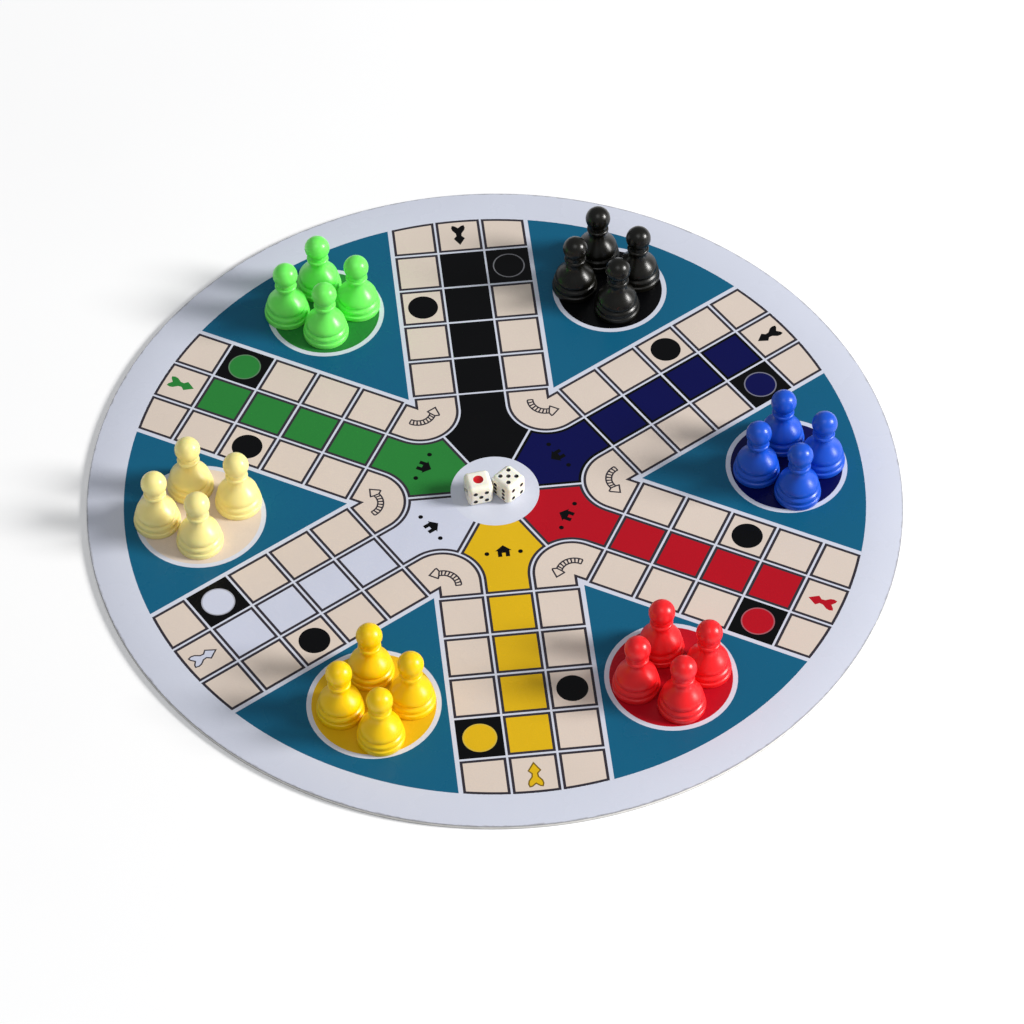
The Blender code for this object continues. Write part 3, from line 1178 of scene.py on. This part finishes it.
def pip_paint(name, base):
    """Paint in a pip: a little uneven in tint and gloss, and not quite level."""
    finish, tree, shader = new_finish(name)
    tree.links.new(
        shaded(tree, base, spread(tree, grain(tree, 0.4 * MM, 3), 0.85, 1.1)),
        shader.inputs["Base Color"],
    )
    tree.links.new(spread(tree, grain(tree, 0.7 * MM, 3), 0.25, 0.45), shader.inputs["Roughness"])
    raised(tree, shader, grain(tree, 0.3 * MM, 2), 0.01 * MM)
    return finish


black_paint = pip_paint("pip_paint_black", colour(24, 22, 26))
red_paint = pip_paint("pip_paint_red", colour(196, 8, 20))

# %% Die shape
DIE_ROUNDING = 1.55 * MM
DIE_ROUNDING_STEPS = 8
PIP_RADIUS = 0.7 * MM
PIP_DEPTH = 0.3 * MM
ONE_PIP_RADIUS = 1.6 * MM
ONE_PIP_DEPTH = 0.42 * MM
PIP_STEP_SHARE = 0.22
PIP_SEGMENTS = 40
DIE_SHARP_DEGREES = 30
# Node, piece, pips on top, pips in front and degrees turned
DICE = (
    ("die_left", "white_die_left", 1, 5, 7.6),
    ("die_right", "white_die_right", 5, 4, 38.6),
)


def pip_steps(count):
    """Where a face's pips lie, in steps from its middle."""
    corners = ((-1, -1), (1, 1), (-1, 1), (1, -1))
    steps = [(0, 0)] if count % 2 else []
    steps += corners[: count - count % 2 if count < 6 else 4]
    return steps + [(-1, 0), (1, 0)] if count == 6 else steps


def face_ways(top, front):
    """The outward direction of each face by its pips, for a die seen with these two faces."""
    ways = {top: Vector((0, 0, 1)), front: Vector((0, -1, 0))}
    ways.update({7 - pips: -way for pips, way in list(ways.items())})
    third = next(pips for pips in range(1, 7) if pips not in ways)
    for side in (Vector((-1, 0, 0)), Vector((1, 0, 0))):
        ways.update({third: side, 7 - third: -side})
        if ways[1].cross(ways[2]).dot(ways[3]) > 0:
            return ways
    return ways


def pip_balls(edge, top, front):
    """One mesh of balls that dish out the pips, with their paint."""
    shape = bmesh.new()
    for pips, way in face_ways(top, front).items():
        across = Vector((way.z, way.x, way.y))
        along = way.cross(across)
        wide, deep = (ONE_PIP_RADIUS, ONE_PIP_DEPTH) if pips == 1 else (PIP_RADIUS, PIP_DEPTH)
        ball = (wide * wide + deep * deep) / (2 * deep)
        for step_across, step_along in pip_steps(pips):
            spot = way * (edge / 2 - deep + ball)
            spot += (across * step_across + along * step_along) * (PIP_STEP_SHARE * edge)
            turn = way.to_track_quat("Z", "Y").to_matrix().to_4x4()
            made = bmesh.ops.create_uvsphere(
                shape,
                u_segments=PIP_SEGMENTS,
                v_segments=PIP_SEGMENTS,
                radius=ball,
                matrix=Matrix.Translation(spot) @ turn,
            )
            for vertex in made["verts"]:
                for face in vertex.link_faces:
                    face.material_index = 1 if pips == 1 else 0
    return piece_from(shape, "pip_balls", [black_paint, red_paint])


def make_die(node, name, top, front, turn_degrees):
    """A rounded cube with its pips cut, standing where the frame's die stands."""
    low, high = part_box(node)
    edge = high.z - low.z
    shape = bmesh.new()
    bmesh.ops.create_cube(shape, size=edge)
    die = piece_from(shape, name, [die_finish])
    rounding = die.modifiers.new("rounded", "BEVEL")
    rounding.width = DIE_ROUNDING
    rounding.segments = DIE_ROUNDING_STEPS
    balls = pip_balls(edge, top, front)
    cut = die.modifiers.new("pips", "BOOLEAN")
    cut.operation = "DIFFERENCE"
    cut.solver = "EXACT"
    cut.material_mode = "TRANSFER"
    cut.object = balls
    bpy.context.view_layer.update()
    solid = bpy.data.meshes.new_from_object(die.evaluated_get(bpy.context.evaluated_depsgraph_get()))
    die.modifiers.clear()
    die.data = solid
    solid.shade_smooth()
    solid.set_sharp_from_angle(angle=math.radians(DIE_SHARP_DEGREES))
    weighted = die.modifiers.new("even_shading", "WEIGHTED_NORMAL")
    weighted.keep_sharp = True
    bpy.data.objects.remove(balls)
    die.location = ((low.x + high.x) / 2, (low.y + high.y) / 2, SEATED + edge / 2)
    die.rotation_euler.z = math.radians(turn_degrees)
    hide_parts(node)
    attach(die, node)
    print(name, "has", len(solid.polygons), "faces and", len(solid.materials), "finishes")


for node, name, top_pips, front_pips, turn_degrees in DICE:
    make_die(node, name, top_pips, front_pips, turn_degrees)

# %% [markdown]
# ## Measure and finish
#
# The dressed game has to fill the same space as the frame. The last line prints the box that the
# dressed pieces fill, in millimetres.

# %% Sizes and finish
low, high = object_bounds()
print("Visual box in mm:", [round(value / MM, 2) for value in (*low, *high)])
